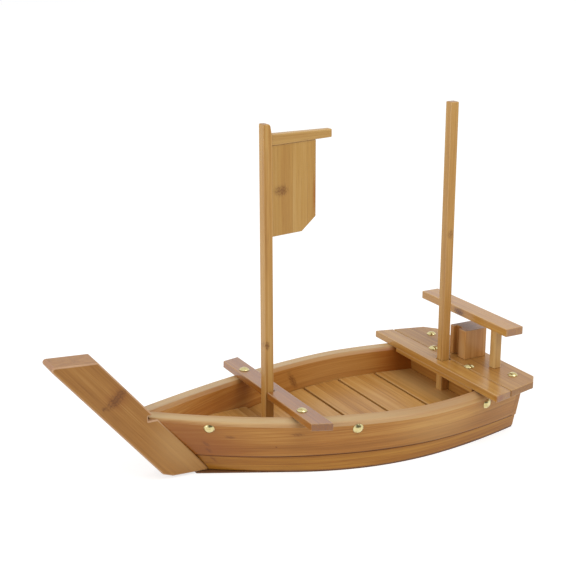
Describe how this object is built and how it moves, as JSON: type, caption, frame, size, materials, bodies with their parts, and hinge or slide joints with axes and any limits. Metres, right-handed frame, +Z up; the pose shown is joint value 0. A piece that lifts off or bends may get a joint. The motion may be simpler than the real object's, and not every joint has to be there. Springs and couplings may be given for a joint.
{
  "type": "wooden serving boat",
  "caption": "Boat-shaped wooden serving platter with a raked stem, plank sides, slatted floor, thwart, aft deck with a low rail, and two square masts, one with a small sail.",
  "frame": {"origin": "bottom centre of the bounding box, on the surface that the boat stands on", "axes": "+X from bow to stern, +Y to starboard, +Z up"},
  "size_m": [0.4732, 0.221, 0.3285],
  "materials": {
    "hull_bamboo": "semi-gloss varnish",
    "board_bamboo": "semi-gloss varnish",
    "floor_bamboo": "semi-gloss varnish",
    "mast_bamboo": "semi-gloss varnish",
    "brass": "polished"
  },
  "bodies": {
    "root": {"stem": "hull_bamboo", "port_upper_strake": "hull_bamboo", "starboard_upper_strake": "hull_bamboo", "port_lower_strake": "hull_bamboo", "starboard_lower_strake": "hull_bamboo", "bottom_board": "floor_bamboo", "floor_battens": "floor_bamboo", "bow_bearers": "floor_bamboo", "floor_slats": "floor_bamboo", "bow_floor": "floor_bamboo", "transom": "hull_bamboo", "bulkhead": "hull_bamboo", "deck_beam": "board_bamboo", "front_deck_plank": "board_bamboo", "rear_deck": "board_bamboo", "thwart": "board_bamboo", "front_mast": "mast_bamboo", "yard": "mast_bamboo", "sail": "mast_bamboo", "rear_mast": "mast_bamboo", "rail": "board_bamboo", "rail_posts": "mast_bamboo", "grooved_block": "board_bamboo", "hull_nails": "brass", "thwart_nails": "brass", "deck_nails": "brass"}
  },
  "joints": []
}
